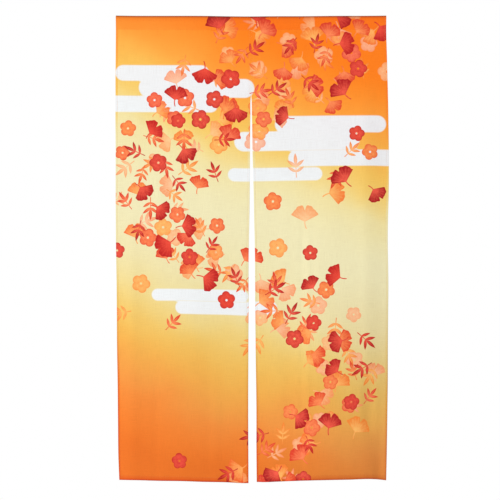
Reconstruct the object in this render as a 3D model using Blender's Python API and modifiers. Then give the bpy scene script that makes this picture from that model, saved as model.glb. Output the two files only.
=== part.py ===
"""Noren: a split doorway curtain of printed cloth that hangs by the rod pocket along its top.

Two panels are seamed together down the middle for the first 250 mm and hang apart below that. At the top the
cloth is turned over to the back and stitched down, which makes a sleeve that is open at both ends.

Axes: X to the right, Z up, the printed face towards -Y. The origin is the middle of the top edge.
"""

import math
from collections import namedtuple

import bmesh
import bpy
import numpy as np

MM = 0.001

# Driving sizes of the whole, in metres
HEADING_WIDTH = 0.870
DROP = 1.500  # top edge to foot, measured at the slit
SLIT_TOP = 0.250  # top edge to the end of the middle seam

# The rod pocket's section: a full round at the rod, drawn in to the line of stitches
POCKET_DROP = 0.044
POCKET_ROUND = 0.0084  # outer radius at the rod
POCKET_TUCK = 0.0015  # outer radius at the stitches, where the two layers meet

# The cloth
CLOTH = 0.0012
HEM_STACK = 0.0022  # the layers of a turned hem together
SIDE_HEM = 0.0075
FOOT_HEM = 0.0155
HEM_STEP = 0.0010  # the width over which a hem's edge rises from the single cloth
PIECE_GAP = 0.0003
WELD = 0.00003

# How far the top edge stands above its middle, at places from the left end to the right, in millimetres
TopRow = namedtuple("TopRow", "place lift")
TOP_EDGE = (
    TopRow(-435, 3.0),
    TopRow(-390, 2.3),
    TopRow(-290, 2.0),
    TopRow(-150, 1.8),
    TopRow(-75, 0.5),
    TopRow(0, 0.0),
    TopRow(60, 0.6),
    TopRow(170, 0.9),
    TopRow(270, 1.9),
    TopRow(370, 2.1),
    TopRow(435, 2.8),
)

# Distance of each outer edge from the middle line, down the height, in millimetres
OuterRow = namedtuple("OuterRow", "drop left right")
OUTER_EDGES = (
    OuterRow(0, 434.6, 434.2),
    OuterRow(60, 434.7, 434.6),
    OuterRow(130, 435.2, 436.7),
    OuterRow(190, 435.8, 438.2),
    OuterRow(260, 435.8, 440.3),
    OuterRow(330, 436.0, 441.8),
    OuterRow(430, 435.3, 443.3),
    OuterRow(590, 435.4, 442.6),
    OuterRow(650, 435.1, 440.9),
    OuterRow(720, 434.7, 440.0),
    OuterRow(790, 433.8, 441.0),
    OuterRow(860, 432.6, 442.0),
    OuterRow(950, 432.0, 441.4),
    OuterRow(1050, 431.6, 440.8),
    OuterRow(1200, 429.3, 440.6),
    OuterRow(1260, 428.8, 439.6),
    OuterRow(1320, 428.3, 438.8),
    OuterRow(1430, 427.0, 437.0),
    OuterRow(1500, 424.2, 435.5),
)

# Distance of each slit edge from the middle line, below the seam, in millimetres
SlitRow = namedtuple("SlitRow", "drop left right")
SLIT_EDGES = (
    SlitRow(250, 0.15, 0.15),
    SlitRow(264, 1.4, 1.2),
    SlitRow(320, 2.2, 2.6),
    SlitRow(366, 3.1, 3.6),
    SlitRow(430, 3.5, 4.5),
    SlitRow(500, 3.8, 6.4),
    SlitRow(560, 4.2, 8.2),
    SlitRow(655, 5.6, 10.0),
    SlitRow(720, 7.0, 11.7),
    SlitRow(785, 8.0, 12.6),
    SlitRow(920, 8.0, 13.4),
    SlitRow(1075, 8.8, 14.8),
    SlitRow(1270, 9.4, 17.3),
    SlitRow(1395, 8.8, 17.2),
    SlitRow(1500, 8.3, 18.2),
)

# Drop of the foot edge, from the outer corner (share 0) to the slit corner (share 1), in millimetres
FootRow = namedtuple("FootRow", "share left right")
FOOT_EDGES = (
    FootRow(0.00, 1490.5, 1492.9),
    FootRow(0.10, 1490.3, 1488.3),
    FootRow(0.30, 1492.1, 1488.5),
    FootRow(0.50, 1493.0, 1489.7),
    FootRow(0.65, 1495.5, 1491.7),
    FootRow(0.83, 1497.4, 1495.1),
    FootRow(0.95, 1500.4, 1497.2),
    FootRow(1.00, 1500.6, 1496.6),
)

# Soft vertical folds, in millimetres. middle and half_width are given where the fold begins and at the foot,
# from the middle line outwards. A fold grows from begins to full. A positive depth goes back, away from -Y.
Fold = namedtuple("Fold", "panel begins full middle foot_middle half_width foot_half_width depth")
FOLDS = (
    Fold("left", 430, 1050, 452, 452, 78, 82, 8.0),
    Fold("left", 300, 1300, 215, 225, 140, 150, -5.0),
    Fold("left", 850, 1450, 0, 0, 90, 130, 4.0),
    Fold("right", 130, 480, 452, 452, 95, 95, 10.0),
    Fold("right", 850, 1250, 470, 470, 160, 160, 10.0),
    Fold("right", 1130, 1230, 378, 378, 30, 30, 3.6),
    Fold("right", 1300, 1400, 378, 378, 30, 30, -3.2),
    Fold("right", 1400, 1470, 412, 414, 24, 24, 1.6),
    Fold("right", 300, 1300, 240, 235, 120, 130, -7.0),
    Fold("right", 850, 1450, 0, 0, 90, 120, 5.0),
)

# Spacing of the mesh: close in the outer band, where the narrow folds are, and wider elsewhere
FOLD_BAND = 0.120
FOLD_STEP = 0.0085
PLAIN_STEP = 0.020
ROW_STEP = 0.056
SLIT_MOUTH = 0.014  # the height over which the slit opens below the seam
POCKET_STEP = 0.0145
ROD_ARC_STEPS = 11
TUCK_ARC_STEPS = 2
POCKET_SIDE_STEPS = 2

SIDES = {"left": -1.0, "right": 1.0}


def read_smooth(rows, column, at):
    """The value of a table's column between its rows, on a smooth curve through them."""
    stations = np.array([row[0] for row in rows], float)
    values = np.array([getattr(row, column) for row in rows], float)
    slopes = np.gradient(values, stations)
    row = int(np.clip(np.searchsorted(stations, at) - 1, 0, len(rows) - 2))
    span = stations[row + 1] - stations[row]
    t = min(max((at - stations[row]) / span, 0.0), 1.0)
    ease = t * t * (3.0 - 2.0 * t)
    level = values[row] + (values[row + 1] - values[row]) * ease
    lean = slopes[row] * t * (1.0 - t) ** 2 - slopes[row + 1] * t * t * (1.0 - t)
    return level + lean * span


def smooth_step(share):
    share = min(max(share, 0.0), 1.0)
    return share * share * (3.0 - 2.0 * share)


def top_lift(x):
    """How far the top edge stands above its middle at x: the ends are drawn up a little."""
    return read_smooth(TOP_EDGE, "lift", x / MM) * MM


def fold_depth(panel, from_middle, drop):
    """How far back the cloth stands at a place on a panel, summed over its folds."""
    depth = 0.0
    for fold in FOLDS:
        if fold.panel != panel or drop <= fold.begins:
            continue
        down = (drop - fold.begins) / (DROP / MM - fold.begins)
        middle = fold.middle + (fold.foot_middle - fold.middle) * down
        half_width = fold.half_width + (fold.foot_half_width - fold.half_width) * down
        off = abs(from_middle - middle) / half_width
        if off < 1.0:
            growth = smooth_step((drop - fold.begins) / (fold.full - fold.begins))
            depth += fold.depth * growth * (1.0 - off * off) ** 2
    return depth * MM


def spaced(start, end, step):
    """Even stations from start to end, without start, at most a step apart."""
    count = max(1, math.ceil((end - start) / step - 1e-9))
    return list(np.linspace(start, end, count + 1)[1:])


def column_stations(width):
    """Distances across a panel from its outer edge: both hem edges, the fold band and the plain cloth."""
    stations = [0.0, SIDE_HEM - HEM_STEP / 2, SIDE_HEM + HEM_STEP / 2]
    stations += spaced(stations[-1], FOLD_BAND, FOLD_STEP)
    stations += spaced(FOLD_BAND, width - SIDE_HEM - HEM_STEP / 2, PLAIN_STEP)
    stations += [width - SIDE_HEM + HEM_STEP / 2, width]
    return stations


def row_stations(top):
    """Drops down a panel: its top, the end of the seam, even rows and the foot hem's edge."""
    hem_edge = DROP - FOOT_HEM
    stations = [top] + spaced(top, SLIT_TOP, ROW_STEP) + [SLIT_TOP + SLIT_MOUTH]
    stations += spaced(stations[-1], hem_edge - HEM_STEP / 2, ROW_STEP)
    stations += [hem_edge + HEM_STEP / 2, DROP]
    return stations


def panel_point(panel, share, drop, top):
    """The place of a point on a panel's printed face: share runs from the outer edge to the slit edge."""
    outer = read_smooth(OUTER_EDGES, panel, drop / MM)
    inner = PIECE_GAP / MM / 2
    if drop > SLIT_TOP:
        inner = read_smooth(SLIT_EDGES, panel, drop / MM)
    from_middle = outer + (inner - outer) * share
    x = SIDES[panel] * from_middle * MM
    down = (drop - top) / (DROP - top)
    foot = read_smooth(FOOT_EDGES, panel, share) * MM
    z = -drop - (foot - DROP) * down + top_lift(x) * (1.0 - down)
    y = fold_depth(panel, from_middle, drop / MM) - CLOTH / 2
    return x, y, z


def new_material(name, colour, roughness):
    material = bpy.data.materials.new(name)
    material.use_nodes = True
    shader = material.node_tree.nodes["Principled BSDF"]
    shader.inputs["Base Color"].default_value = (*colour, 1.0)
    shader.inputs["Roughness"].default_value = roughness
    shader.inputs["Metallic"].default_value = 0.0
    material.diffuse_color = (*colour, 1.0)
    return material


def add_object(name, mesh_data, collection, material):
    mesh = bpy.data.meshes.new(name)
    mesh_data.to_mesh(mesh)
    mesh_data.free()
    mesh.materials.append(material)
    mesh.shade_smooth()
    piece = bpy.data.objects.new(name, mesh)
    collection.objects.link(piece)
    return piece


def add_thickness(piece, thickness):
    """Grows a sheet away from its printed face."""
    solidify = piece.modifiers.new("thickness", "SOLIDIFY")
    solidify.thickness = thickness
    solidify.offset = -1.0
    solidify.use_even_offset = True
    return solidify


def build_panel(panel, collection, material):
    """One hanging panel: a sheet on the panel's outline and folds, thicker in its turned hems."""
    width = HEADING_WIDTH / 2
    top = POCKET_DROP + PIECE_GAP
    columns = column_stations(width)
    if panel == "left":
        shares = [station / width for station in columns]
    else:
        shares = [station / width for station in reversed(columns)]
    drops = list(reversed(row_stations(top)))
    sheet = bmesh.new()
    bmesh.ops.create_grid(sheet, x_segments=len(shares) - 1, y_segments=len(drops) - 1, size=1.0)
    hem_weights = {}
    for vertex in sheet.verts:
        column = round((vertex.co.x + 1.0) / 2.0 * (len(shares) - 1))
        row = round((vertex.co.y + 1.0) / 2.0 * (len(drops) - 1))
        across = shares[column] * width
        in_side_hem = min(across, width - across) < SIDE_HEM
        in_foot_hem = DROP - drops[row] < FOOT_HEM
        hem_weights[vertex.index] = 1.0 if in_side_hem or in_foot_hem else 0.0
        vertex.co = panel_point(panel, shares[column], drops[row], top)
    piece = add_object(f"panel_{panel}", sheet, collection, material)
    hems = piece.vertex_groups.new(name="hems")
    for index, weight in hem_weights.items():
        hems.add([index], weight, "REPLACE")
    solidify = add_thickness(piece, HEM_STACK)
    solidify.vertex_group = hems.name
    solidify.thickness_vertex_group = CLOTH / HEM_STACK
    return piece


def arc(centre_z, radius, start, end, steps):
    """Points (y, z) on a round of the pocket's section, from one angle to another, ends included."""
    angles = np.linspace(start, end, steps + 1)
    return [(radius * math.cos(angle), centre_z + radius * math.sin(angle)) for angle in angles]


def pocket_section():
    """The pocket's outer section as (y, z): up the front from the stitches, over the rod, down the back."""
    rod_z = -POCKET_ROUND
    tuck_z = -(POCKET_DROP - POCKET_TUCK)
    taper = math.asin((POCKET_ROUND - POCKET_TUCK) / (rod_z - tuck_z))
    front = math.pi + taper
    back = -taper
    low_front = arc(tuck_z, POCKET_TUCK, 1.5 * math.pi, front, TUCK_ARC_STEPS)
    over_rod = arc(rod_z, POCKET_ROUND, front, back, ROD_ARC_STEPS)
    low_back = arc(tuck_z, POCKET_TUCK, back, -0.5 * math.pi, TUCK_ARC_STEPS)
    section = list(low_front)
    for share in np.linspace(0.0, 1.0, POCKET_SIDE_STEPS + 1)[1:-1]:
        section.append(tuple(np.array(low_front[-1]) * (1.0 - share) + np.array(over_rod[0]) * share))
    section += over_rod
    for share in np.linspace(0.0, 1.0, POCKET_SIDE_STEPS + 1)[1:-1]:
        section.append(tuple(np.array(over_rod[-1]) * (1.0 - share) + np.array(low_back[0]) * share))
    return section + low_back


def build_heading(collection, material):
    """The rod pocket: a sleeve of cloth over the whole width, open at both ends."""
    section = pocket_section()
    half = HEADING_WIDTH / 2
    stations = [-half] + spaced(-half, half, POCKET_STEP)
    sleeve = bmesh.new()
    bmesh.ops.create_grid(sleeve, x_segments=len(stations) - 1, y_segments=len(section) - 1, size=1.0)
    for vertex in sleeve.verts:
        column = round((vertex.co.x + 1.0) / 2.0 * (len(stations) - 1))
        step = round((vertex.co.y + 1.0) / 2.0 * (len(section) - 1))
        x = stations[column]
        y, z = section[step]
        vertex.co = (x, y, z + top_lift(x))
    bmesh.ops.remove_doubles(sleeve, verts=sleeve.verts, dist=WELD)
    piece = add_object("heading", sleeve, collection, material)
    add_thickness(piece, CLOTH)
    return piece


def clear_scene():
    for piece in list(bpy.data.objects):
        bpy.data.objects.remove(piece, do_unlink=True)


def build():
    clear_scene()
    collection = bpy.data.collections.new("noren")
    bpy.context.scene.collection.children.link(collection)
    build_heading(collection, new_material("orange_heading_cloth", (0.93, 0.24, 0.02), 0.85))
    build_panel("left", collection, new_material("left_printed_cloth", (0.90, 0.42, 0.13), 0.85))
    build_panel("right", collection, new_material("right_printed_cloth", (0.90, 0.48, 0.15), 0.85))


build()
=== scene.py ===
# %% [markdown]
# # A noren: a split doorway curtain of printed cloth
#
# This lesson dresses the plain solids of a noren: two hanging panels of thin printed polyester, joined for the
# first 250 mm and open below, with a rod pocket along the top. The solids fix the size and the folds. Here each
# panel becomes one thin sheet of cloth with turned hems, stitches, a weave and a dyed print.

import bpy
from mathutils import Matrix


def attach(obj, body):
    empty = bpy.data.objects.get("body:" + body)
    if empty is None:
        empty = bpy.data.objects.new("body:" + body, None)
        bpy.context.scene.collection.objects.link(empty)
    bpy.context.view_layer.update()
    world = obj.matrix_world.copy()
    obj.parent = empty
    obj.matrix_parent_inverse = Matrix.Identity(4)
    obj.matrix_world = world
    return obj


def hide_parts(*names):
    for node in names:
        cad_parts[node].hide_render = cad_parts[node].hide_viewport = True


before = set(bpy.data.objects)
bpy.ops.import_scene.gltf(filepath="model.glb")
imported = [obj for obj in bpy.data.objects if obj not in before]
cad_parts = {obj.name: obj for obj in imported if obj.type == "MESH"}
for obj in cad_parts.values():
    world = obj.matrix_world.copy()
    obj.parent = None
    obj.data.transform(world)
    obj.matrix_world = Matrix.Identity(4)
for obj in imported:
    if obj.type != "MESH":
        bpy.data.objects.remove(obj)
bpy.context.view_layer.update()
print("frame nodes:", sorted(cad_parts))

# %% [markdown]
# ## Sizes
#
# These are the finished sizes of the real curtain, the same numbers that shape the solids, so that the cloth lies
# where they stand. X runs to the right, Z up, and the printed face looks towards -Y. The origin is the middle of
# the top edge.

# %% The finished sizes, in metres
import math
from collections import namedtuple
from functools import partialmethod

import bmesh
import bpy
import numpy as np
from mathutils import Vector

MM = 0.001
HEADING_WIDTH = 0.870
PANEL_WIDTH = HEADING_WIDTH / 2
DROP = 1.500  # top edge to foot, measured at the slit
SLIT_TOP = 0.250  # top edge to the end of the middle seam
POCKET_DROP = 0.044  # top edge to the line of stitches
POCKET_ROUND = 0.0084  # outer radius of the pocket where it goes over the rod
FACE_DEPTH = 0.0006  # the printed face stands this far in front of the middle of the cloth
PIECE_GAP = 0.0003
SIDE_HEM = 0.0075
FOOT_HEM = 0.0155
CLOTH = 0.0003  # real thickness of one layer

# %% The edges, in millimetres: lift of the top edge, then distances from the middle line, then the foot


def table(columns, *rows):
    """A table with named columns: one named tuple for each row."""
    row_type = namedtuple("TableRow", columns)
    return tuple(row_type(*row) for row in rows)


TOP_EDGE = table(
    "place lift",
    (-435, 3.0),
    (-390, 2.3),
    (-290, 2.0),
    (-150, 1.8),
    (-75, 0.5),
    (0, 0.0),
    (60, 0.6),
    (170, 0.9),
    (270, 1.9),
    (370, 2.1),
    (435, 2.8),
)
OUTER_EDGES = table(
    "drop left right",
    (0, 434.6, 434.2),
    (60, 434.7, 434.6),
    (130, 435.2, 436.7),
    (190, 435.8, 438.2),
    (260, 435.8, 440.3),
    (330, 436.0, 441.8),
    (430, 435.3, 443.3),
    (590, 435.4, 442.6),
    (650, 435.1, 440.9),
    (720, 434.7, 440.0),
    (790, 433.8, 441.0),
    (860, 432.6, 442.0),
    (950, 432.0, 441.4),
    (1050, 431.6, 440.8),
    (1200, 429.3, 440.6),
    (1260, 428.8, 439.6),
    (1320, 428.3, 438.8),
    (1430, 427.0, 437.0),
    (1500, 424.2, 435.5),
)
SLIT_EDGES = table(
    "drop left right",
    (250, 0.0, 0.0),
    (264, 1.4, 1.2),
    (320, 2.2, 2.6),
    (366, 3.1, 3.6),
    (430, 3.5, 4.5),
    (500, 3.8, 6.4),
    (560, 4.2, 8.2),
    (655, 5.6, 10.0),
    (720, 7.0, 11.7),
    (785, 8.0, 12.6),
    (920, 8.0, 13.4),
    (1075, 8.8, 14.8),
    (1270, 9.4, 17.3),
    (1395, 8.8, 17.2),
    (1500, 8.3, 18.2),
)
FOOT_EDGES = table(
    "share left right",  # share runs from the outer corner to the slit corner
    (0.00, 1490.5, 1492.9),
    (0.10, 1490.3, 1488.3),
    (0.30, 1492.1, 1488.5),
    (0.50, 1493.0, 1489.7),
    (0.65, 1495.5, 1491.7),
    (0.83, 1497.4, 1495.1),
    (0.95, 1500.4, 1497.2),
    (1.00, 1500.6, 1496.6),
)

# %% [markdown]
# ## Folds
#
# Light cloth that hangs from a pocket keeps soft vertical folds. Both outer edges turn back, the right one more,
# and small hollows lie low beside it. The middle of each panel stands forward in one broad belly, and the inner
# foot corners stand back a little. A simulation would put its own folds somewhere, so these are listed, one
# table row for each. The last six rows are finer than the solids carry: a turn of each outer edge low down, and
# creases left from how the cloth was folded for the shelf.

# %% The folds, in millimetres, from the middle line outwards; a positive depth goes back
FOLDS = table(
    "panel begins full middle foot_middle half_width foot_half_width depth",
    ("left", 430, 1050, 452, 452, 78, 82, 8.0),
    ("left", 300, 1300, 215, 225, 140, 150, -5.0),
    ("left", 850, 1450, 0, 0, 90, 130, 4.0),
    ("right", 130, 480, 452, 452, 95, 95, 10.0),
    ("right", 850, 1250, 470, 470, 160, 160, 10.0),
    ("right", 1130, 1230, 378, 378, 30, 30, 3.6),
    ("right", 1300, 1400, 378, 378, 30, 30, -3.2),
    ("right", 1400, 1470, 412, 414, 24, 24, 1.6),
    ("right", 300, 1300, 240, 235, 120, 130, -7.0),
    ("right", 850, 1450, 0, 0, 90, 120, 5.0),
    ("left", 1100, 1350, 440, 438, 45, 45, 2.2),
    ("left", 900, 1300, 300, 306, 18, 22, 0.5),
    ("left", 980, 1300, 118, 112, 20, 26, -0.6),
    ("right", 1180, 1330, 448, 448, 40, 40, -2.6),
    ("right", 560, 760, 164, 160, 10, 12, 0.6),
    ("right", 560, 760, 186, 182, 10, 12, -0.6),
)
print(len(FOLDS), "folds")

# %% Reading a table smoothly, and growing a fold softly


def read_smooth(rows, column, at):
    """The values of a table's column between its rows, on a smooth curve through them."""
    stations = np.array([row[0] for row in rows], float)
    values = np.array([getattr(row, column) for row in rows], float)
    slopes = np.gradient(values, stations)
    at = np.clip(at, stations[0], stations[-1])
    row = np.clip(np.searchsorted(stations, at) - 1, 0, len(rows) - 2)
    span = stations[row + 1] - stations[row]
    t = (at - stations[row]) / span
    ease = t * t * (3.0 - 2.0 * t)
    level = values[row] + (values[row + 1] - values[row]) * ease
    lean = slopes[row] * t * (1.0 - t) ** 2 - slopes[row + 1] * t * t * (1.0 - t)
    return level + lean * span


def smooth_step(share):
    share = np.clip(share, 0.0, 1.0)
    return share * share * (3.0 - 2.0 * share)


def fold_depth(panel, from_middle, drop):
    """How far back the cloth stands at places on a panel, in metres, summed over its folds."""
    depth = np.zeros_like(from_middle)
    for fold in FOLDS:
        if fold.panel != panel:
            continue
        down = (drop - fold.begins) / (DROP / MM - fold.begins)
        middle = fold.middle + (fold.foot_middle - fold.middle) * down
        half_width = fold.half_width + (fold.foot_half_width - fold.half_width) * np.maximum(down, 0.0)
        off = np.minimum(np.abs(from_middle - middle) / half_width, 1.0)
        growth = smooth_step((drop - fold.begins) / (fold.full - fold.begins))
        depth += fold.depth * growth * (1.0 - off * off) ** 2
    return depth * MM


# %% [markdown]
# ## Relief of the cloth
#
# Between the folds real cloth is never flat. It ripples softly down its length, puckers where a seam draws it in,
# and the empty pocket keeps a crease from packing. These are all under a millimetre, so they are added as small
# moves of the mesh, from smooth random waves with fixed seeds.

# %% Smooth random waves


def soft_noise(across, along, seed):
    """Waves between -1 and 1 with one random level at each whole number, the same each run."""
    levels = np.random.default_rng(seed).uniform(-1.0, 1.0, (64, 64))
    column, row = np.floor(across).astype(int), np.floor(along).astype(int)
    s, t = smooth_step(across - column), smooth_step(along - row)
    near = levels[column % 64, row % 64] * (1.0 - s) + levels[(column + 1) % 64, row % 64] * s
    far = levels[column % 64, (row + 1) % 64] * (1.0 - s) + levels[(column + 1) % 64, (row + 1) % 64] * s
    return near * (1.0 - t) + far * t


# %% The relief at each place
STITCH_IN = 0.0062  # the hem stitches run this far in from the edge
FOOT_STITCH_UP = 0.0145
POCKET_STITCH_DROP = 0.0434
CREASE_DROP = 0.0215
CREASE_WANDER = 0.003
CREASE_WIDTH = 0.0032
CREASE_DEPTH = 0.9 * MM
HEM_GROOVE = 0.16 * MM
FOOT_GROOVE = 0.20 * MM
RIPPLES, SIDE_PUCKERS, FOOT_PUCKERS, POCKET_PUCKERS = (
    table("height across along seed", *rows)  # height in mm, wave lengths across and along in metres
    for rows in (
        ((0.55, 0.061, 0.33, 3), (0.22, 0.027, 0.16, 4)),
        ((0.26, 0.015, 0.20, 5),),
        ((0.30, 0.014, 0.50, 6),),
        ((0.45, 0.011, 0.50, 7), (0.30, 0.031, 0.50, 8)),
    )
)


def bell(distance, reach):
    return np.exp(-((distance / reach) ** 2))


def waves(rows, across, along):
    """The sum of a table's waves, in metres."""
    return sum(row.height * MM * soft_noise(across / row.across, along / row.along, row.seed) for row in rows)


def relief(x, across, drop, on_front):
    """Small moves of the cloth towards the back, in metres."""
    in_from_stitch = np.minimum(across, PANEL_WIDTH - across) - STITCH_IN
    up_from_stitch = drop - (DROP - FOOT_STITCH_UP)
    free = 0.25 + 0.75 * smooth_step(drop / 0.5)  # the heading holds the cloth flatter
    move = waves(RIPPLES, x, drop) * free
    move += waves(SIDE_PUCKERS, drop, x) * bell(in_from_stitch, 0.011)
    move += waves(FOOT_PUCKERS, x, drop) * bell(up_from_stitch, 0.013)
    move += HEM_GROOVE * bell(in_from_stitch, 0.0016) + FOOT_GROOVE * bell(up_from_stitch, 0.0018)
    move += waves(POCKET_PUCKERS, x, drop) * bell(drop - POCKET_STITCH_DROP, 0.011) * on_front
    crease = 0.55 + 0.45 * soft_noise(x / 0.12 + 3.0, drop * 0.0, 9)
    crease_drop = CREASE_DROP + CREASE_WANDER * soft_noise(x / 0.17, drop * 0.0, 10)
    move += CREASE_DEPTH * crease * bell(drop - crease_drop, CREASE_WIDTH) * on_front
    return move


# %% [markdown]
# ## The way of the cloth, from the pocket to the foot
#
# Each panel is one length of cloth. Its top end is turned under by 9 mm, laid over to the back and stitched down
# 44 mm below the top, which leaves a sleeve for the rod. Its foot is turned up 15.5 mm. To model this the cloth
# is followed as one path seen from the side: up inside the pocket's back, over the rod, down the front, round the
# foot and up again. The path carries the flat length of the cloth too, which the print will need.

# %% The pocket's path, seen from the side
TURNED_UNDER = 0.0070
BELOW_SEAM = 0.0080  # the front lies flat from here down
BACK_BELOW_SEAM = 0.0022
BACK_FACE = 0.0004
LAYER_TURN = 0.000325  # outer radius where a single layer is folded on itself
TUCK_SOFTNESS = 0.0012


def pocket_path():
    """Flat length, y and z along the printed face: from the raw edge inside, over the rod, to the panel."""
    seam_z = -POCKET_DROP
    from_rod = math.hypot(BACK_FACE, seam_z + POCKET_ROUND)
    lean = math.acos(POCKET_ROUND / from_rod)
    back_angle = math.atan2(seam_z + POCKET_ROUND, BACK_FACE) + lean
    front_angle = math.pi - back_angle
    tangent = np.array([math.cos(back_angle), math.sin(back_angle)]) * POCKET_ROUND + [0.0, -POCKET_ROUND]
    slope = (tangent[0] - BACK_FACE) / (tangent[1] - seam_z)

    def swell(z):
        return slope * TUCK_SOFTNESS * np.log1p(np.exp((z - seam_z) / TUCK_SOFTNESS))

    fold_z = seam_z - BACK_BELOW_SEAM
    inside = np.linspace(seam_z + TURNED_UNDER, fold_z, 40)[:-1]
    turn = np.linspace(math.pi, 2.0 * math.pi, 24)
    back = np.linspace(fold_z, tangent[1], 120)[1:]
    over = np.linspace(back_angle, front_angle, 160)[1:-1]
    front = np.linspace(tangent[1], seam_z - BELOW_SEAM, 160)
    y = np.concatenate([
        BACK_FACE + swell(inside) - 2.0 * LAYER_TURN,
        BACK_FACE - LAYER_TURN + LAYER_TURN * np.cos(turn),
        BACK_FACE + swell(back),
        POCKET_ROUND * np.cos(over),
        -FACE_DEPTH - swell(front) * (tangent[0] - FACE_DEPTH) / (tangent[0] - BACK_FACE),
    ])
    z = np.concatenate([
        inside,
        fold_z + LAYER_TURN * np.sin(turn),
        back,
        POCKET_ROUND * np.sin(over) - POCKET_ROUND,
        front,
    ])
    length = np.concatenate([[0.0], np.cumsum(np.hypot(np.diff(y), np.diff(z)))])
    return length - length[np.argmax(z)], y, z


pocket_flat, pocket_y, pocket_z = pocket_path()
print(f"cloth on the pocket's back: {-pocket_flat[0] / MM:.1f} mm")

# %% The rows of the mesh, down the cloth
Row = namedtuple("Row", "flat y drop angle rise")
MESH_STEP = 0.0060
PANEL_START = POCKET_DROP + BELOW_SEAM
PANEL_FLAT = pocket_flat[-1] - PANEL_START  # flat length less drop, all down the panel
FOOT_FLAT = PANEL_FLAT + DROP
FOOT_TURN_STEPS = 4
ROWS_ABOVE_FOOT = (0.0160, FOOT_HEM, FOOT_STITCH_UP, 0.0125, 0.0095, 0.0062, 0.0034, 0.0016)
TURNED_STITCH_RISE = FOOT_STITCH_UP - 0.0004
RAW_EDGE = pocket_flat[0]
UNDER_FOLD = pocket_flat[39]  # where the turned-under edge begins to fold
UNDER_FOLD_END = UNDER_FOLD + math.pi * LAYER_TURN
ROD_REACH = 0.0150  # the rod's place, either way from the top
POCKET_STRETCHES = (  # the end of each stretch along the pocket, and the step between its rows
    (UNDER_FOLD, 0.0035),
    (UNDER_FOLD_END, 0.00026),
    (UNDER_FOLD_END + 0.006, 0.0015),
    (-ROD_REACH, 0.0055),
    (ROD_REACH, 0.0021),
    (ROD_REACH + 0.026, 0.0030),
    (pocket_flat[-1], 0.0014),
)
ROWS_TURNED_UP = (0.0040, 0.0090, TURNED_STITCH_RISE, 0.0150)


def spaced(start, end, step):
    """Even stations from start to end, without start, at most a step apart."""
    count = max(1, math.ceil((end - start) / step - 1e-9))
    return list(np.linspace(start, end, count + 1)[1:])


def cloth_rows():
    """Every row across the cloth, from the raw edge inside the pocket to that of the foot hem."""
    stops = [RAW_EDGE]
    for end, step in POCKET_STRETCHES:
        stops += spaced(stops[-1], end, step)
    rows = []
    for flat in stops:
        y, z = np.interp(flat, pocket_flat, pocket_y), np.interp(flat, pocket_flat, pocket_z)
        rows.append(Row(flat, y, -z, 0.0, 0.0))
    drops = spaced(PANEL_START, SLIT_TOP - 0.001, MESH_STEP)
    drops += [SLIT_TOP + below for below in (0.001, 0.004, 0.009)]
    drops += spaced(drops[-1], DROP - FOOT_HEM - 0.0030, MESH_STEP)
    drops += [DROP - up for up in ROWS_ABOVE_FOOT]
    rows += [Row(PANEL_FLAT + drop, -FACE_DEPTH, drop, 0.0, 0.0) for drop in drops]
    turns = np.linspace(0.0, math.pi, FOOT_TURN_STEPS + 1)
    rows += [Row(FOOT_FLAT, -FACE_DEPTH, DROP, angle, 0.0) for angle in turns]
    rows += [Row(FOOT_FLAT, -FACE_DEPTH, DROP, math.pi, rise) for rise in ROWS_TURNED_UP]
    return rows


ROWS = cloth_rows()
print(len(ROWS), "rows, flat length", round(ROWS[-1].flat - ROWS[0].flat + FOOT_HEM, 4), "m")

# %% [markdown]
# ## Across the cloth: the side hems
#
# Both long edges of a panel are turned to the back and stitched. Seen from above, the path runs along the turned
# edge, round a small bend, across the face, and round the bend at the slit. A point of a hem is found by going
# straight back from the face by the depth of the turn, so the hem follows every fold of the panel it belongs to.
# At the foot corners the side hem is folded up with the foot hem, in four layers.

# %% The columns of the mesh, across the cloth
Column = namedtuple("Column", "across depth flat")
HEM_TURN = 0.00035  # outer radius of a side hem's bend
FOOT_TURN = 0.00040
CORNER_TURN = 0.00105


def hem_columns():
    """Columns from the raw edge of a hem, round its bend, to the plain cloth. Flat is measured inwards."""
    turned_under = [Column(across, 2 * HEM_TURN, 0.0) for across in (SIDE_HEM, STITCH_IN, 0.0035, HEM_TURN)]
    bend = [
        Column(HEM_TURN * (1 - math.sin(a)), HEM_TURN * (1 - math.cos(a)), 0.0)
        for a in (0.75 * math.pi, 0.5 * math.pi, 0.25 * math.pi)
    ]
    face_steps = (HEM_TURN, 0.0016, 0.0036, STITCH_IN, 0.0071, 0.0080, 0.0100)
    face = [Column(across, 0.0, 0.0) for across in face_steps]
    columns = turned_under + bend + face
    steps = [math.hypot(a.across - b.across, a.depth - b.depth) for a, b in zip(columns, columns[1:])]
    flats = np.concatenate([[0.0], np.cumsum(steps)])
    flats += columns[-1].across - flats[-1]
    return [column._replace(flat=flat) for column, flat in zip(columns, flats)]


def cloth_columns():
    """All columns from the outer hem's raw edge to the slit hem's. Flat is measured outwards from the slit."""
    hem = hem_columns()
    outer = [Column(c.across, c.depth, PANEL_WIDTH - c.flat) for c in hem]
    inner = [Column(PANEL_WIDTH - c.across, c.depth, c.flat) for c in reversed(hem)]
    middle = spaced(outer[-1].across, inner[0].across, MESH_STEP)[:-1]
    return outer + [Column(across, 0.0, PANEL_WIDTH - across) for across in middle] + inner


COLUMNS = cloth_columns()
print(len(COLUMNS), "columns, flat width", round(COLUMNS[0].flat - COLUMNS[-1].flat, 4), "m")

# %% The place of the printed face
SIDES = {"left": -1.0, "right": 1.0}
HEADING_FOOT = POCKET_DROP + PIECE_GAP


def top_lift(x):
    return read_smooth(TOP_EDGE, "lift", x / MM) * MM


def foot_turn(across):
    """Outer radius of the foot's turn: wider at the corners, where the side hem lies inside it."""
    from_edge = np.minimum(across, PANEL_WIDTH - across)
    return CORNER_TURN + (FOOT_TURN - CORNER_TURN) * smooth_step((from_edge - SIDE_HEM) / 0.006)


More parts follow.
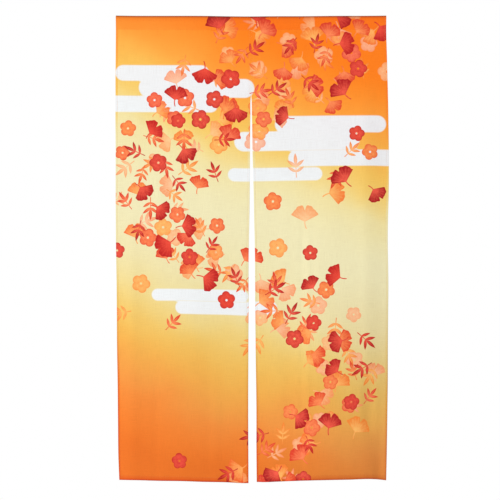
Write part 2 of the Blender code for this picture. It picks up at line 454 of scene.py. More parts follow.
def face_place(panel, across, rows):
    """Where the printed face of a panel lies, hems left out, for a grid of columns and rows."""
    radius = foot_turn(across)
    drop = rows["drop"] - radius * (rows["turned"] - np.sin(rows["angle"])) - rows["rise"]
    outer = read_smooth(OUTER_EDGES, panel, drop / MM)
    inner = np.where(drop > SLIT_TOP, read_smooth(SLIT_EDGES, panel, drop / MM), 0.0)
    share = across / PANEL_WIDTH
    from_middle = outer + (inner - outer) * share
    x = SIDES[panel] * from_middle * MM
    down = np.clip((drop - HEADING_FOOT) / (DROP - HEADING_FOOT), 0.0, 1.0)
    foot = read_smooth(FOOT_EDGES, panel, share) * MM
    z = -drop - (foot - DROP) * down + top_lift(x) * (1.0 - down)
    y = rows["y"] + radius * (1.0 - np.cos(rows["angle"]))
    y = y + fold_depth(panel, from_middle, drop / MM) + relief(x, across, drop, rows["on_front"])
    return np.stack([x, y, z], axis=-1)


def facing_out(over, along):
    """Directions square to the cloth, turned so that the middle of the printed face looks towards -Y."""
    out = np.cross(over, along)
    out /= np.linalg.norm(out, axis=-1, keepdims=True)
    return -out if out[len(ROWS) // 2, len(COLUMNS) // 2, 1] > 0.0 else out


# %% The sheet's points and flat coordinates
PROBE = 0.0004


def cloth_grid(panel):
    """Places and flat coordinates for every row and column of one panel."""
    across, depth, column_flat = (np.array(values)[None, :] for values in zip(*COLUMNS))
    values = {name: np.array([getattr(row, name) for row in ROWS]) for name in Row._fields}
    values["turned"] = (values["flat"] >= FOOT_FLAT - 1e-9).astype(float)
    values["on_front"] = (values["flat"] > 0.0).astype(float)
    rows = {name: value[:, None] + 0.0 * across for name, value in values.items()}
    across = across + 0.0 * rows["y"]
    face = face_place(panel, across, rows)
    over = face_place(panel, across + PROBE, rows) - face_place(panel, across - PROBE, rows)
    places = face - facing_out(over, np.gradient(face, axis=0)) * depth[..., None]
    radius = foot_turn(across)
    flat_v = rows["flat"] + rows["turned"] * (radius * (rows["angle"] - 1.0) + rows["rise"])
    flat_u = SIDES[panel] * column_flat + 0.0 * across
    return places, flat_u, flat_v


grids = {panel: cloth_grid(panel) for panel in SIDES}
for panel, (places, _, _) in grids.items():
    low, high = places.reshape(-1, 3).min(0), places.reshape(-1, 3).max(0)
    print(panel, "cloth from", low.round(4).tolist(), "to", high.round(4).tolist())

# %% [markdown]
# ## The print's layout
#
# The cloth is printed with a drift of leaves and blossoms over a ground that fades from orange to pale yellow and
# back. The motifs are common ones of kimono and curtain cloth: ginkgo leaves, feathered sprigs and plum blossom,
# with bands of white mist. A printer would repeat a drawn block. Here each motif gets a centre, a turn and a size
# from a seeded scatter, and each face of the mesh remembers the motif that lies on it as local coordinates. A
# shader then draws the motif from those, so its edge stays sharp at any distance.

# %% Where the motifs lie thickest: a drift that winds down both panels, in metres
DRIFT = table(
    "drop middle reach strength",
    (-0.08, 0.24, 0.22, 1.0),
    (0.10, 0.20, 0.24, 1.0),
    (0.25, 0.02, 0.22, 1.0),
    (0.42, -0.22, 0.17, 1.0),
    (0.58, -0.32, 0.13, 0.9),
    (0.74, -0.20, 0.12, 0.85),
    (0.92, 0.06, 0.14, 0.9),
    (1.08, 0.26, 0.12, 0.9),
    (1.24, 0.30, 0.10, 0.8),
    (1.38, 0.14, 0.10, 0.6),
    (1.55, 0.02, 0.10, 0.4),
)
SCATTER = 0.004  # chance of a motif away from the drift


def drift_strength(x, drop):
    middle, reach = read_smooth(DRIFT, "middle", drop), read_smooth(DRIFT, "reach", drop)
    return np.maximum(read_smooth(DRIFT, "strength", drop) * bell(x - middle, reach) ** 2, SCATTER)


# %% Scattering the motifs of one screen
SCREENS = table(
    "name seed kinds",  # kinds: the shares of ginkgo leaves, sprigs and blossoms
    ("spray_1", 11, (0.45, 0.35, 0.20)),
    ("spray_2", 12, (0.45, 0.35, 0.20)),
    ("spray_3", 13, (0.40, 0.42, 0.18)),
    ("spray_4", 14, (0.40, 0.42, 0.18)),
)
TRIES = 5000
SCATTER_X, SCATTER_DROP = (-0.47, 0.47), (-0.09, 1.54)
MOTIF_RADIUS = (0.037, 0.039, 0.030)  # of a ginkgo leaf, a sprig and a blossom
LARGEST_MOTIF = 0.0415
FACE_REACH = 0.0050  # half a face's diagonal, and a little more
Motif = namedtuple("Motif", "x drop turn radius code")  # code: the kind, and behind the point the ink


def scatter_motifs(screen):
    """Seeded places for a screen's motifs. No two share a face, and none is centred off a side."""
    rng = np.random.default_rng(screen.seed)
    motifs = []
    for _ in range(TRIES):
        x, drop = rng.uniform(*SCATTER_X), rng.uniform(*SCATTER_DROP)
        chance, turn, growth, pick, kind_draw = rng.uniform(size=5)
        kind = int(np.searchsorted(np.cumsum(screen.kinds), kind_draw * 0.999))
        radius = min(MOTIF_RADIUS[kind] * (0.86 + 0.26 * growth), LARGEST_MOTIF)
        if chance > drift_strength(x, drop):
            continue
        room = [math.hypot(m.x - x, m.drop - drop) - m.radius - radius for m in motifs]
        if motifs and min(room) < 2.0 * FACE_REACH:
            continue
        motifs.append(Motif(x, drop, turn * 2.0 * math.pi, radius, kind + 0.05 + 0.9 * pick))
    return [motif for motif in motifs if abs(motif.x) < PANEL_WIDTH]


screens = {screen.name: scatter_motifs(screen) for screen in SCREENS}
print({name: len(motifs) for name, motifs in screens.items()})

# %% The mist: rounded bars that overlap, each with its ends, its drop and half its height, in metres
MIST = table(
    "start end drop half_height",
    (-0.41, -0.16, 0.190, 0.026),
    (-0.33, -0.02, 0.237, 0.031),
    (-0.47, -0.13, 0.290, 0.027),
    (0.10, 0.40, 0.355, 0.028),
    (-0.02, 0.31, 0.408, 0.032),
    (0.14, 0.47, 0.464, 0.027),
    (-0.05, 0.20, 0.515, 0.022),
    (-0.30, -0.02, 0.905, 0.020),
    (-0.22, 0.05, 0.945, 0.022),
)


def mist_depth(x, drop):
    """How far inside the mist a place is, in metres: negative outside it."""
    inside = [bar.half_height - np.hypot(x - np.clip(x, bar.start, bar.end), drop - bar.drop) for bar in MIST]
    return np.max(inside, axis=0)


# %% [markdown]
# ## Making a panel
#
# A grid of points becomes a mesh, the flat coordinates become an attribute called cloth, and the motifs' local
# coordinates become one attribute for each screen. Then Solidify grows the thickness of one layer away from the
# printed face and gives the back its own, paler material. Solidify was chosen over drawing both sides because it
# keeps the attributes on each of them.

# %% Mesh and attributes of one panel


def grid_mesh(name, places, facing_flip):
    """A mesh of quads over a grid of points."""
    count_rows, count_columns = places.shape[:2]
    index = np.arange(count_rows * count_columns).reshape(count_rows, count_columns)
    corners = [index[:-1, :-1], index[1:, :-1], index[1:, 1:], index[:-1, 1:]]
    quads = np.stack(corners, axis=-1).reshape(-1, 4)
    if facing_flip:
        quads = quads[:, ::-1]
    mesh = bpy.data.meshes.new(name)
    mesh.from_pydata(places.reshape(-1, 3).tolist(), [], quads.tolist())
    mesh.shade_smooth()
    return mesh, quads


def keep_vectors(mesh, name, domain, values):
    """Stores one vector for each point or corner of a mesh."""
    attribute = mesh.attributes.new(name, "FLOAT_VECTOR", domain)
    attribute.data.foreach_set("vector", np.ascontiguousarray(values, dtype=np.float32).ravel())


def motif_frames(motifs, quads, flat):
    """For each corner, where it lies in its face's motif, in radii of the motif, and the motif's code."""
    centres = flat[quads].mean(axis=1)
    frames = np.zeros((len(quads), 4, 3))
    frames[..., 2] = -1.0
    places = np.array([(m.x, m.drop) for m in motifs])
    radii = np.array([m.radius for m in motifs])
    room = np.hypot(centres[:, None, 0] - places[:, 0], centres[:, None, 1] - places[:, 1]) - radii
    nearest = room.argmin(axis=1)
    on_motif = room[np.arange(len(quads)), nearest] < FACE_REACH
    for number, motif in enumerate(motifs):
        faces = on_motif & (nearest == number)
        away = (flat[quads[faces]] - [motif.x, motif.drop]) * [1.0, -1.0] / motif.radius
        cos, sin = math.cos(motif.turn), math.sin(motif.turn)
        frames[faces, :, 0] = away[..., 0] * cos + away[..., 1] * sin
        frames[faces, :, 1] = away[..., 1] * cos - away[..., 0] * sin
        frames[faces, :, 2] = motif.code
    return frames.reshape(-1, 3)


def painted_layer_shade(flat_u, flat_v):
    """Share of painted shade where layers lie together and let less light through: 0 on single cloth, 1 in the
    pocket and the foot hem.
    """
    from_slit = np.abs(flat_u)
    side = np.maximum(SIDE_HEM - from_slit, from_slit - (PANEL_WIDTH - SIDE_HEM))
    end = np.maximum(PANEL_FLAT + POCKET_DROP - flat_v, flat_v - (FOOT_FLAT - FOOT_HEM))
    soft_side, soft_end = (smooth_step(0.5 + inside / 0.0012) for inside in (side, end))
    return 0.3 * soft_side + soft_end


# %% [markdown]
# ## Colours
#
# Colours are written as the hex values that a screen shows, and one function turns them to the linear values that
# a shader works with.

# %% Hex to linear, and the function that adds a node


def linear(code):
    """A hex colour as linear red, green, blue and a full alpha."""
    shares = [int(code[i:i + 2], 16) / 255 for i in (1, 3, 5)]
    return (*[s / 12.92 if s <= 0.04045 else ((s + 0.055) / 1.055) ** 2.4 for s in shares], 1.0)


def add_node(tree, kind, sockets=None, **settings):
    """Adds a node: sockets gives each input, by name or number, a value or the output that feeds it."""
    node = tree.nodes.new(kind)
    for name, value in settings.items():
        setattr(node, name, value)
    for key, value in (sockets or {}).items():
        if isinstance(value, Field):
            value = value.socket
        if isinstance(value, bpy.types.NodeSocket):
            tree.links.new(value, node.inputs[key])
        else:
            node.inputs[key].default_value = value
    return node


class Field:
    """A number at each point of a surface. Arithmetic on fields adds Math nodes to their tree."""

    def __init__(self, tree, socket):
        self.tree = tree
        self.socket = socket

    def math(self, operation, *others, clamp=False):
        sockets = dict(enumerate((self, *others)))
        node = add_node(self.tree, "ShaderNodeMath", sockets, operation=operation, use_clamp=clamp)
        return Field(self.tree, node.outputs[0])

    __add__ = partialmethod(math, "ADD")
    __sub__ = partialmethod(math, "SUBTRACT")
    __mul__ = partialmethod(math, "MULTIPLY")
    __truediv__ = partialmethod(math, "DIVIDE")
    __neg__ = partialmethod(math, "MULTIPLY", -1.0)
    size = partialmethod(math, "ABSOLUTE")
    clamped = partialmethod(math, "ADD", 0.0, clamp=True)


# %% [markdown]
# ## Drawing the motifs
#
# A motif is drawn from its local coordinates alone. For each kind a formula says how far inside its outline a
# point is, and where that is above nothing there is ink. The ginkgo leaf is a fan with a notch and a stalk, the
# sprig is two pairs of pointed leaflets and one at the tip, and the blossom is one round petal turned five times.
# A second formula gives the wash: 0 at the heart and 1 at the tips, with paler veins, as a brush leaves them.

# %% The motif group: frame in, ink and wash and pick out
EDGE_SHARPNESS = 34.0


def leaflet(x, y, length, width):
    """How far inside a pointed leaf a point is; the leaf lies along y from 0 to its length."""
    along = (y / length).clamped()
    half = along.math("POWER", 0.62) * (-along + 1.0).math("POWER", 0.92) * width
    return half - x.size() - 0.018


def turned(x, y, degrees):
    """Coordinates in a frame whose y axis leans away from the old one by an angle."""
    cos, sin = math.cos(math.radians(degrees)), math.sin(math.radians(degrees))
    return x * cos - y * sin, x * sin + y * cos


def draw_ginkgo(x, y, pick):
    lifted = y + 0.44
    reach = (x * x + lifted * lifted).math("SQRT")
    turn = x.math("ARCTAN2", lifted)
    wave = (turn * 9.0 + pick * 20.0).math("SINE") * 0.035
    wave = wave + (turn * 21.0 - pick * 30.0).math("SINE") * 0.016
    notch = (-(turn * turn) / 0.0062).math("EXPONENT") * 0.36
    rim = -(turn * turn) * 0.13 + 1.30 + wave - notch
    blade = (rim - reach).math("MINIMUM", (-turn.size() + 1.10) * reach)
    bend = lifted * lifted * 0.45
    stalk = (-(x - bend).size() + 0.045).math("MINIMUM", -y - 0.40).math("MINIMUM", y + 0.98)
    veins = (turn * 26.0).math("SINE") * 0.5 + 0.5
    wash = reach / 1.25 - veins.math("POWER", 6.0) * 0.22
    return blade.math("MAXIMUM", stalk), wash


def draw_sprig(x, y):
    mirrored = x.size()
    tip = leaflet(x, y - 0.02, 0.96, 0.44)
    upper_x, upper_y = turned(mirrored, y + 0.10, 52)
    lower_x, lower_y = turned(mirrored, y + 0.52, 58)
    upper = leaflet(upper_x, upper_y, 0.86, 0.40)
    lower = leaflet(lower_x, lower_y, 0.78, 0.37)
    stem = (-mirrored + 0.035).math("MINIMUM", y + 0.96).math("MINIMUM", -y + 0.10)
    shape = tip.math("MAXIMUM", upper).math("MAXIMUM", lower).math("MAXIMUM", stem)
    outward = (x * x + (y + 0.2) * (y + 0.2)).math("SQRT")
    off_rib = mirrored.math("MINIMUM", upper_x.size()).math("MINIMUM", lower_x.size())
    midrib = (off_rib * -30.0 + 1.0).clamped()
    return shape, outward - midrib * 0.25


def draw_blossom(x, y):
    angle = x.math("ARCTAN2", y)
    fifth = 2.0 * math.pi / 5.0
    folded = angle - (angle / fifth).math("ROUND") * fifth
    reach = (x * x + y * y).math("SQRT")
    along, beside = reach * folded.math("COSINE"), reach * folded.math("SINE")
    off = along - 0.53
    petal = -(off * off + beside * beside * 0.92).math("SQRT") + 0.42
    ring = (-(reach - 0.30).size() * 7.0 + 1.0).clamped()
    threads = ((angle * 15.0).math("SINE") * 0.5 + 0.5).math("POWER", 3.0) * ring
    heart = (-(reach - 0.10) * 12.0).clamped()
    return petal, reach * 0.62 + threads * 0.75 + heart * 0.7


def build_motif_group():
    tree = bpy.data.node_groups.new("printed_motif", "ShaderNodeTree")
    tree.interface.new_socket(name="Frame", in_out="INPUT", socket_type="NodeSocketVector")
    for name in ("Ink", "Wash", "Pick"):
        tree.interface.new_socket(name=name, in_out="OUTPUT", socket_type="NodeSocketFloat")
    entry = add_node(tree, "NodeGroupInput")
    split = add_node(tree, "ShaderNodeSeparateXYZ", {0: entry.outputs["Frame"]})
    x, y, code = (Field(tree, split.outputs[i]) for i in range(3))
    kind = code.math("FLOOR")
    pick = code - kind
    ink, wash = None, None
    drawn = (draw_ginkgo(x, y, pick), draw_sprig(x, y), draw_blossom(x, y))
    for number, (shape, tone) in enumerate(drawn):
        chosen = kind.math("COMPARE", float(number), 0.1)
        shape_ink = (shape * EDGE_SHARPNESS + 0.5).clamped() * chosen
        brim = (-shape * 8.0 + 1.0).clamped() * 0.30
        shape_wash = (tone + brim).clamped() * chosen
        ink = shape_ink if ink is None else ink + shape_ink
        wash = shape_wash if wash is None else wash + shape_wash
    add_node(tree, "NodeGroupOutput", {"Ink": ink, "Wash": wash, "Pick": pick})
    return tree


motif_group = build_motif_group()
print("motif group:", len(motif_group.nodes), "nodes")

# %% [markdown]
# ## The printed polyester
#
# The cloth is a plain weave of spun polyester, at about 16 threads to a centimetre. The dye is transfer printed,
# so it lies in the fibre with no gloss: a rough surface with a faint sheen. The ground runs through orange, straw
# yellow and orange again, with soft cloudy borders. Where two layers lie together less light passes, so painted
# shade makes hems and pocket a little deeper. Painted shade also darkens the edges where the cloth rolls away
# from the light, the lower outer part of the right panel and the hollows between threads. The back shows the same
# print, paler. The real threads lie 0.6 mm apart, too fine for this picture, so they are drawn at 1.2 mm.

# %% The ground: bands of dye down the cloth, and painted shade low on the right panel
GROUND = (
    (0.000, "#FB7B0E"),
    (0.070, "#FC8618"),
    (0.160, "#FBA23C"),
    (0.220, "#F5BC52"),
    (0.285, "#F3CC66"),
    (0.340, "#EEE2A6"),
    (0.450, "#EDE7BE"),
    (0.600, "#EADFAA"),
    (0.670, "#EBD488"),
    (0.730, "#ECC260"),
    (0.800, "#EDAE4A"),
    (0.870, "#ED9240"),
    (0.930, "#EE7D28"),
    (1.000, "#E36E1E"),
)
# Each screen's inks: heart and tip of one motif, heart and tip of its neighbour, and how strongly they print
INKS = (
    (("#FDC78C", "#F89A55"), ("#FBBB98", "#F58A62"), 0.85),
    (("#FFA85C", "#F2662E"), ("#FFC06A", "#F58A34"), 0.95),
    (("#FF7A58", "#D93526"), ("#FFA056", "#E9562C"), 1.00),
    (("#F4604A", "#A91418"), ("#EE4A36", "#C4201C"), 1.00),
)
MIST_WHITE = "#ECF1F6"
MIST_SOFTNESS = 0.004
MIST_COVER = 0.93
BORDER_WANDER = 0.17
LOW_RIGHT_SHADE = "#C8945A"
DARKER_FOOT = "#BE7A22"


def ground_mist_and_shade(tree, cloth, flat_u, flat_v):
    """The faded ground and the mist, with painted shade low on the right panel and a darker foot there."""
    cloud = add_node(tree, "ShaderNodeTexNoise", {"Vector": cloth, "Scale": 2.3, "Detail": 3.0})
    wander = (Field(tree, cloud.outputs[0]) - 0.5) * BORDER_WANDER
    down = flat_v / DROP
    lean = -down * 0.10 + 0.27
    ramp = add_node(tree, "ShaderNodeValToRGB", {0: (down + wander - flat_u * lean).clamped()})
    ramp.color_ramp.interpolation = "B_SPLINE"
    stops = ramp.color_ramp.elements
    while len(stops) < len(GROUND):
        stops.new(0.5)
    for stop, (place, code) in zip(stops, GROUND):
        stop.position = place
        stop.color = linear(code)
    # painted shade, growing towards the outer edge and down the lower part of the right panel
    low_right_shade = (flat_u / PANEL_WIDTH).clamped() * ((flat_v - 0.85) / 0.40).clamped() * 0.26
    # the right panel's last 160 mm darker still, fading out beside the slit
    darker_foot = (flat_u * 12.0).clamped() * ((flat_v - 1.34) / 0.16).clamped() * 0.26
    mist = add_node(tree, "ShaderNodeAttribute", attribute_name="mist")
    veil = (Field(tree, mist.outputs["Fac"]) / MIST_SOFTNESS + 0.3).clamped() * MIST_COVER
    colour = ramp.outputs[0]
    for share, dye in ((low_right_shade, LOW_RIGHT_SHADE), (darker_foot, DARKER_FOOT), (veil, MIST_WHITE)):
        mixed = add_node(tree, "ShaderNodeMix", {0: share, 6: colour, 7: linear(dye)}, data_type="RGBA")
        colour = mixed.outputs[2]
    return colour


# %% The motifs over the ground


def overprinted(tree, cloth, colour):
    """Each screen's motifs over the colour below, in one or the other of the screen's two inks."""
    bleed = add_node(tree, "ShaderNodeTexNoise", {"Vector": cloth, "Scale": 95.0, "Detail": 2.0})
    bleed = Field(tree, bleed.outputs[0]) - 0.5
    for screen, (first, second, strength) in zip(SCREENS, INKS):
        frame_of = add_node(tree, "ShaderNodeAttribute", attribute_name=screen.name)
        motif = add_node(tree, "ShaderNodeGroup", {"Frame": frame_of.outputs["Vector"]}, node_tree=motif_group)
        ink, wash, pick = (Field(tree, motif.outputs[name]) for name in ("Ink", "Wash", "Pick"))
        wash = (wash * 1.15 + bleed * 0.9 - 0.08).clamped()
        washes = ({0: wash, 6: linear(heart), 7: linear(tip)} for heart, tip in (first, second))
        one, other = (add_node(tree, "ShaderNodeMix", sockets, data_type="RGBA") for sockets in washes)
        dye = add_node(tree, "ShaderNodeMix", {0: pick, 6: one.outputs[2], 7: other.outputs[2]}, data_type="RGBA")
        printed = {0: ink * strength, 6: colour, 7: dye.outputs[2]}
        colour = add_node(tree, "ShaderNodeMix", printed, data_type="RGBA").outputs[2]
    return colour


# %% The weave
THREAD_PITCH = 0.0012
SLUB_LENGTH = 0.040


def weave_height(tree, flat_u, flat_v):
    """A plain weave: where warp and weft have the same sign the warp lies over, elsewhere the weft."""
    warp = (flat_u * (math.pi / THREAD_PITCH)).math("SINE")
    weft = (flat_v * (math.pi / THREAD_PITCH)).math("SINE")
    warp_over = (warp * weft).math("GREATER_THAN", 0.0)
    warp, weft = warp.size(), weft.size()
    over = warp * (weft * 0.4 + 0.6)
    under = weft * (warp * 0.4 + 0.6)
    return under + (over - under) * warp_over


def thread_tones(tree, flat_u, flat_v):
    """Each thread takes the dye a little differently, and slubs run along it for a few centimetres."""
    across = add_node(tree, "ShaderNodeCombineXYZ", {0: flat_u / THREAD_PITCH, 1: flat_v / SLUB_LENGTH})
    along = add_node(tree, "ShaderNodeCombineXYZ", {0: flat_u / SLUB_LENGTH, 1: flat_v / THREAD_PITCH, 2: 7.0})
    tones = [add_node(tree, "ShaderNodeTexNoise", {"Vector": way.outputs[0], "Scale": 1.0, "Detail": 1.0})
             for way in (across, along)]
    return Field(tree, tones[0].outputs[0]) + Field(tree, tones[1].outputs[0])


# %% Painted shade along the turned edges
EDGE_COLUMNS = "edge reach share always"  # always: the part of the tone that doesn't wait for the lower half
# Painted shade where the cloth rolls away from the light at its edges: the first table deepens the colour by
# multiplying it by itself, the second mixes it towards a dark brown.
DEEPER_EDGE_SHADE = table(
    EDGE_COLUMNS,
    ("top", 0.0130, 0.26, 1.0),
    ("foot", 0.0068, 0.52, 1.0),
    ("outer", 0.0045, 0.55, 0.0),
    ("slit", 0.0050, 0.60, 0.0),
)
LESS_LIGHT = table(
    EDGE_COLUMNS,
    ("top", 0.0098, 0.95, 1.0),
    ("foot", 0.0019, 0.46, 1.0),
    ("outer", 0.0020, 0.26, 0.3),
    ("slit", 0.0018, 0.26, 0.1),
)
LOWER_PART_FROM, LOWER_PART_GROWS = 0.75, 0.45


def edge_tone(tones, flat_u, flat_v):
    """The strongest of a table's tones, each full at its edge and fading away from it."""
    off_edge = {"top": flat_v, "foot": flat_v - FOOT_FLAT, "outer": flat_u.size() - PANEL_WIDTH, "slit": flat_u}
    low = ((flat_v - LOWER_PART_FROM) / LOWER_PART_GROWS).clamped()
    strongest = None
    for tone in tones:
        fade = (-(off_edge[tone.edge] / tone.reach).math("POWER", 2.0)).math("EXPONENT")
        shown = fade * tone.share * (low * (1.0 - tone.always) + tone.always)
        strongest = shown if strongest is None else strongest.math("MAXIMUM", shown)
    return strongest


# %% The whole material
UNDYED = "#F4E6D2"
# dark brown of the painted shade along the rolled edges
ROLLED_EDGE_SHADE = "#6C280A"
# painted shade in the hollows of the weave, together with each thread's own tone
THREAD_TONE_AND_SHADE = "#8C5638"
LAYERS_SHADE = 0.17  # share of painted shade where two layers let less light through
WEAVE_SHADE, THREAD_SHADE, UNSHADED = 0.26, 0.27, 0.09


def new_material(name, looks):
    """A material, its tree and its shader, with plain values on the shader's own sockets."""
    material = bpy.data.materials.new(name)
    material.use_nodes = True
    shader = material.node_tree.nodes["Principled BSDF"]
    for socket, value in looks.items():
        shader.inputs[socket].default_value = value
    return material, material.node_tree, shader


def cloth_material(name, paleness):
    """Transfer-printed polyester, seen from the printed face or from behind."""
    looks = {"Roughness": 0.86, "Specular IOR Level": 0.22, "Sheen Weight": 0.06, "Sheen Roughness": 0.5}
    material, tree, shader = new_material(name, looks)
    cloth = add_node(tree, "ShaderNodeAttribute", attribute_name="cloth").outputs["Vector"]
    split = add_node(tree, "ShaderNodeSeparateXYZ", {0: cloth})
    flat_u, flat_v, layer_shade = (Field(tree, split.outputs[i]) for i in range(3))
    colour = overprinted(tree, cloth, ground_mist_and_shade(tree, cloth, flat_u, flat_v))
    height = weave_height(tree, flat_u, flat_v)
    tones = thread_tones(tree, flat_u, flat_v)
    # Over the print: the paler back, painted shade where layers lie together, painted shade along the edges, then
    # painted shade between the threads with each thread's own tone.
    for share, dye, way in (
        (paleness, UNDYED, "MIX"),
        (layer_shade * LAYERS_SHADE + edge_tone(DEEPER_EDGE_SHADE, flat_u, flat_v), None, "MULTIPLY"),
        (edge_tone(LESS_LIGHT, flat_u, flat_v), ROLLED_EDGE_SHADE, "MIX"),
        ((-height * WEAVE_SHADE + tones * THREAD_SHADE - UNSHADED).clamped(), THREAD_TONE_AND_SHADE, "MULTIPLY"),
    ):
        over = linear(dye) if dye else colour
        mixed = add_node(tree, "ShaderNodeMix", {0: share, 6: colour, 7: over}, data_type="RGBA", blend_type=way)
        colour = mixed.outputs[2]
    bump = add_node(tree, "ShaderNodeBump", {"Height": height, "Strength": 0.55, "Distance": 0.00022})
    tree.links.new(colour, shader.inputs["Base Color"])
    tree.links.new(bump.outputs[0], shader.inputs["Normal"])
    return material


printed_face = cloth_material("printed_polyester_face", 0.0)
printed_back = cloth_material("printed_polyester_back", 0.42)
print("cloth shader:", len(printed_face.node_tree.nodes), "nodes")

# %% Build both panels


def place_object(name, data):
    """A new object at the origin, in the scene."""
    piece = bpy.data.objects.new(name, data)
    bpy.context.scene.collection.objects.link(piece)
    return piece


def flatten(piece):
    """The evaluated piece as a plain mesh object at the origin, with no modifiers."""
    depsgraph = bpy.context.evaluated_depsgraph_get()
    evaluated = piece.evaluated_get(depsgraph)
    mesh = bpy.data.meshes.new_from_object(evaluated, preserve_all_data_layers=True, depsgraph=depsgraph)
    name, old_mesh = piece.name, piece.data
    bpy.data.objects.remove(piece)
    bpy.data.meshes.remove(old_mesh)
    mesh.name = name
    print(name, sum(len(face.vertices) - 2 for face in mesh.polygons), "triangles")
    return place_object(name, mesh)


def build_cloth(panel):
    places, flat_u, flat_v = grids[panel]
    mesh, quads = grid_mesh(f"cloth_{panel}", places, panel == "right")
    # the cloth attribute holds the flat coordinates and the share of painted shade where layers lie together
    keep_vectors(mesh, "cloth", "POINT", np.stack([flat_u, flat_v, painted_layer_shade(flat_u, flat_v)], axis=-1))
    mist = mesh.attributes.new("mist", "FLOAT", "POINT")
    mist.data.foreach_set("value", mist_depth(flat_u, flat_v).astype(np.float32).ravel())
    flat = np.stack([flat_u.ravel(), flat_v.ravel()], axis=-1)
    for name, motifs in screens.items():
        keep_vectors(mesh, name, "CORNER", motif_frames(motifs, quads, flat))
    mesh.materials.append(printed_face)
    mesh.materials.append(printed_back)
    piece = place_object(f"cloth_{panel}", mesh)
    solidify = piece.modifiers.new("one_layer_of_cloth", "SOLIDIFY")
    solidify.thickness = CLOTH
    solidify.offset = -1.0
    solidify.material_offset = 1
    solidify.material_offset_rim = 1
    return flatten(piece)


cloths = {panel: build_cloth(panel) for panel in SIDES}

# %% [markdown]
# ## Stitches
#
# Hems and pocket are closed with lockstitch, about eight stitches in 25 mm. One stitch is a short bead of thread
# that sinks into the cloth at both ends. Geometry Nodes lay them: the tree turns a line of mesh edges into a
# curve, sets points along it at the stitch pitch, and puts one small bead on each, turned along the line. The
# lines are columns and rows of the panel's own grid, so the thread lies on the cloth through every fold.

# %% The stitch tree
STITCH_SIZES = {"Stitch Pitch": 0.0031, "Stitch Length": 0.0025, "Thread Width": 0.0005, "Thread Height": 0.0004}


def build_stitch_tree(thread):
    tree = bpy.data.node_groups.new("lockstitch", "GeometryNodeTree")
    tree.interface.new_socket(name="Seam Lines", in_out="INPUT", socket_type="NodeSocketGeometry")
    sizes = {}
    for name, size in STITCH_SIZES.items():
        sizes[name] = tree.interface.new_socket(name=name, in_out="INPUT", socket_type="NodeSocketFloat")
        sizes[name].default_value = size
    tree.interface.new_socket(name="Stitches", in_out="OUTPUT", socket_type="NodeSocketGeometry")
    given = add_node(tree, "NodeGroupInput").outputs
    curve = add_node(tree, "GeometryNodeMeshToCurve", {0: given["Seam Lines"]})
    spacing = {"Curve": curve.outputs[0], "Length": given["Stitch Pitch"]}
    points = add_node(tree, "GeometryNodeCurveToPoints", spacing, mode="LENGTH").outputs
    bead = add_node(tree, "GeometryNodeMeshIcoSphere", {"Radius": 0.5, "Subdivisions": 1})
    sides = {0: given["Thread Width"], 1: given["Thread Height"], 2: given["Stitch Length"]}
    scale = add_node(tree, "ShaderNodeCombineXYZ", sides)
    stitch = add_node(tree, "GeometryNodeTransform", {"Geometry": bead.outputs[0], "Scale": scale.outputs[0]})
    laid = {"Points": points["Points"], "Instance": stitch.outputs[0], "Rotation": points["Rotation"]}
    sewn = add_node(tree, "GeometryNodeInstanceOnPoints", laid)
    real = add_node(tree, "GeometryNodeRealizeInstances", {0: sewn.outputs[0]})
    smooth = add_node(tree, "GeometryNodeSetShadeSmooth", {0: real.outputs[0]})
    dyed = add_node(tree, "GeometryNodeSetMaterial", {0: smooth.outputs[0], "Material": thread})
    add_node(tree, "NodeGroupOutput", {0: dyed.outputs[0]})
    return tree, {name: socket.identifier for name, socket in sizes.items()}


def thread_material():
    """Spun polyester thread, ochre, with painted shade and light of its twisted plies as darker and lighter
    stripes.
    """
    looks = {"Roughness": 0.7, "Specular IOR Level": 0.3}
    material, tree, shader = new_material("ochre_polyester_thread", looks)
    place = add_node(tree, "ShaderNodeTexCoord").outputs["Object"]
    # painted shade and light of the twisted plies
    ply_shade = add_node(tree, "ShaderNodeTexNoise", {"Vector": place, "Scale": 900.0, "Detail": 1.0})
    ochres = {0: ply_shade.outputs[0], 6: linear("#E7A55A"), 7: linear("#CF8440")}
    ply = add_node(tree, "ShaderNodeMix", ochres, data_type="RGBA")
    tree.links.new(ply.outputs[2], shader.inputs["Base Color"])
    return material


stitch_tree, stitch_inputs = build_stitch_tree(thread_material())
print("stitch inputs:", stitch_inputs)

# %% The seam lines of a panel, and its stitches
THREAD_PROUD = 0.00006  # the thread's middle stands this far off the cloth
HEM_SEAM_BEGINS = 0.010  # flat distance from the raw edge inside the pocket
BACK_SEAM_BEGINS = 0.0115


def nearest_column(across, depth):
    return int(np.argmin([abs(c.across - across) + abs(c.depth - depth) for c in COLUMNS]))


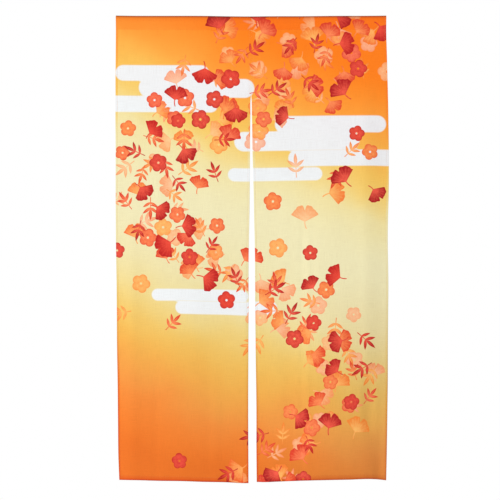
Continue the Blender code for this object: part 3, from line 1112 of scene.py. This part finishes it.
def seam_lines(panel):
    """Lines of points where a panel is sewn, front and back."""
    places = grids[panel][0]
    out = facing_out(np.gradient(places, axis=1), np.gradient(places, axis=0))
    lifted = places + out * THREAD_PROUD
    flats, drops, rises = (np.array([getattr(row, name) for row in ROWS]) for name in ("flat", "drop", "rise"))
    before_foot = int(np.sum(flats < FOOT_FLAT - 1e-9))
    start = int(np.argmax(flats > RAW_EDGE + HEM_SEAM_BEGINS))
    lines = []
    for across in (STITCH_IN, PANEL_WIDTH - STITCH_IN):
        for depth in (0.0, 2 * HEM_TURN):
            lines.append(lifted[start:before_foot, nearest_column(across, depth)])
    face_from, face_to = (nearest_column(across, 0.0) for across in (HEM_TURN, PANEL_WIDTH - HEM_TURN))
    off_foot_seam = np.abs(drops - (DROP - FOOT_STITCH_UP)) + (flats >= FOOT_FLAT)
    off_turned_seam = np.abs(rises - TURNED_STITCH_RISE)
    off_pocket_seam = np.abs(drops - POCKET_STITCH_DROP)
    off_front_seam = off_pocket_seam + (flats < 0.0)
    off_back_seam = off_pocket_seam + (flats > 0.0) + (flats < RAW_EDGE + BACK_SEAM_BEGINS)
    for off_seam in (off_foot_seam, off_turned_seam, off_front_seam, off_back_seam):
        lines.append(lifted[int(np.argmin(off_seam)), face_from:face_to + 1])
    return lines


def sew(panel):
    lines = seam_lines(panel)
    mesh = bpy.data.meshes.new(f"stitches_{panel}")
    points = np.concatenate(lines)
    edges, start = [], 0
    for line in lines:
        edges += [(start + i, start + i + 1) for i in range(len(line) - 1)]
        start += len(line)
    mesh.from_pydata(points.tolist(), edges, [])
    piece = place_object(f"stitches_{panel}", mesh)
    lay = piece.modifiers.new("lay_stitches", "NODES")
    lay.node_group = stitch_tree
    for name, size in STITCH_SIZES.items():
        lay[stitch_inputs[name]] = size
    return flatten(piece)


stitches = {panel: sew(panel) for panel in SIDES}

# %% [markdown]
# ## What each piece stands for
#
# Each cloth takes the place of its panel and of its half of the heading, which is the same length of cloth.

# %% Ride and replace
for panel, piece in cloths.items():
    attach(piece, "root")
    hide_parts(f"panel_{panel}", "heading")
    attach(stitches[panel], "root")

# %% [markdown]
# ## Studio
#
# The curtain hangs by its top edge in a plain white studio: an even white surround, one large soft light from the
# left front that shows the folds, and a pale floor below. The camera looks straight at it from 6 m with a long
# lens, so the edges stay parallel.

# %% Surround, light, floor and camera
KEY_PLACE = Vector((-12.2, -10.8, 1.1))
KEY_AIM = Vector((0.0, 0.0, -0.75))
KEY_SIZE = 7.9
KEY_POWER = 2070.0
SURROUND_LIGHT = 0.62
FLOOR_LEVEL = -1.95
FLOOR_RADIUS = 1.5
CAMERA_PLACE = Vector((-0.0035, -6.0, -0.7505))
CAMERA_LENS = 134.4

scene = bpy.context.scene
scene.view_settings.view_transform = "Standard"
world = bpy.data.worlds.new("white_studio")
scene.world = world
world.use_nodes = True
surround = world.node_tree
surround.nodes.clear()
seen = add_node(surround, "ShaderNodeLightPath")
levels = {0: seen.outputs["Is Camera Ray"], 2: SURROUND_LIGHT, 3: 1.0}
level = add_node(surround, "ShaderNodeMix", levels, data_type="FLOAT")
white = add_node(surround, "ShaderNodeBackground", {"Color": linear("#FFFFFF"), "Strength": level.outputs[0]})
add_node(surround, "ShaderNodeOutputWorld", {0: white.outputs[0]})

key_data = bpy.data.lights.new("soft_key", "AREA")
key_data.shape = "DISK"
key_data.size = KEY_SIZE
key_data.energy = KEY_POWER
key = place_object("soft_key", key_data)
key.location = KEY_PLACE
key.rotation_euler = (KEY_AIM - KEY_PLACE).to_track_quat("-Z", "Y").to_euler()

floor_mesh = bpy.data.meshes.new("pale_floor")
disc = bmesh.new()
bmesh.ops.create_circle(disc, cap_ends=True, radius=FLOOR_RADIUS, segments=96)
bmesh.ops.translate(disc, verts=disc.verts, vec=(0.0, 0.0, FLOOR_LEVEL))
disc.to_mesh(floor_mesh)
disc.free()
floor_paint, _, _ = new_material("matte_floor_paint", {"Base Color": linear("#ECEBE8"), "Roughness": 0.9})
floor_mesh.materials.append(floor_paint)
place_object("pale_floor", floor_mesh)

camera_data = bpy.data.cameras.new("camera")
camera_data.lens = CAMERA_LENS
camera_data.sensor_width = 36.0
camera_data.clip_end = 50.0
camera = place_object("camera", camera_data)
camera.location = CAMERA_PLACE
camera.rotation_euler = (math.pi / 2, 0.0, 0.0)
scene.camera = camera
